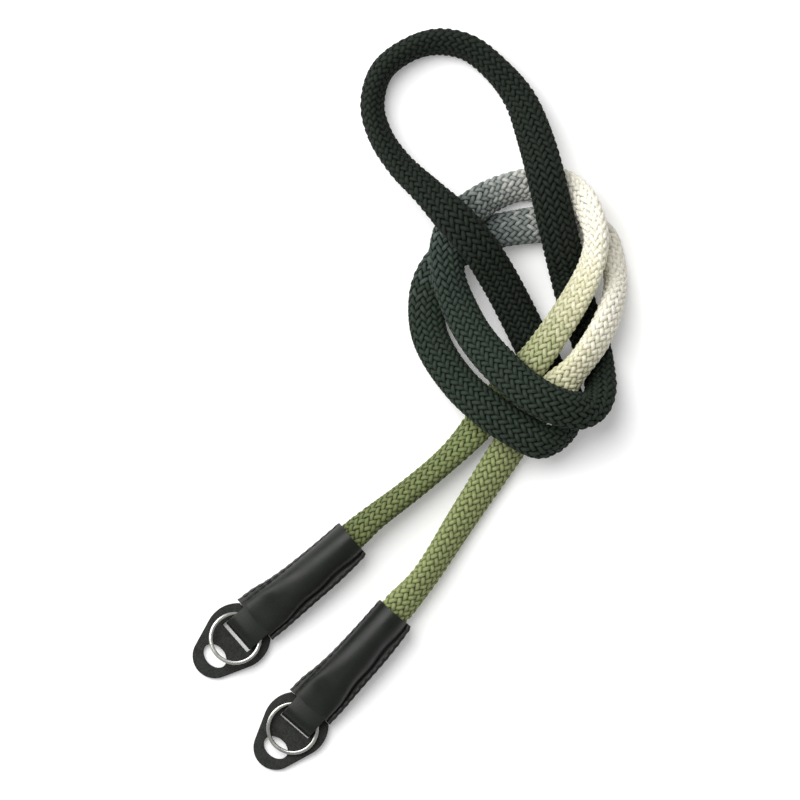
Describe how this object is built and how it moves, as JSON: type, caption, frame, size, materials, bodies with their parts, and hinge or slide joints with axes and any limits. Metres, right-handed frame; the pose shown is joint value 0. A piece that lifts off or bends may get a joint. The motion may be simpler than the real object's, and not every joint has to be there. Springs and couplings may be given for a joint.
{
  "type": "camera neck strap",
  "caption": "Braided rope camera strap tied in a loose overhand knot, with stitched leather ends, split rings and leather guards.",
  "frame": {"origin": "middle of the two leather ends' bounding box, on the surface that the strap lies on", "axes": "+Z up from the surface, +Y along the longer way of the laid strap, from the leather ends towards the rope's bight, +X to the right seen from above with +Y up"},
  "size_m": [0.1454, 0.2479, 0.0282],
  "materials": {
    "sage_rope": "braided polyester, dyed in lengths from green through cream and grey to near black",
    "black_leather": "smooth, semi-gloss",
    "charcoal_leather": "matt, grainy",
    "nickel_steel": "polished nickel plate"
  },
  "bodies": {
    "root": {"rope": "sage_rope", "left_sleeve": "black_leather", "right_sleeve": "black_leather", "left_guard": "charcoal_leather", "right_guard": "charcoal_leather", "left_ring": "nickel_steel", "right_ring": "nickel_steel"}
  },
  "joints": []
}
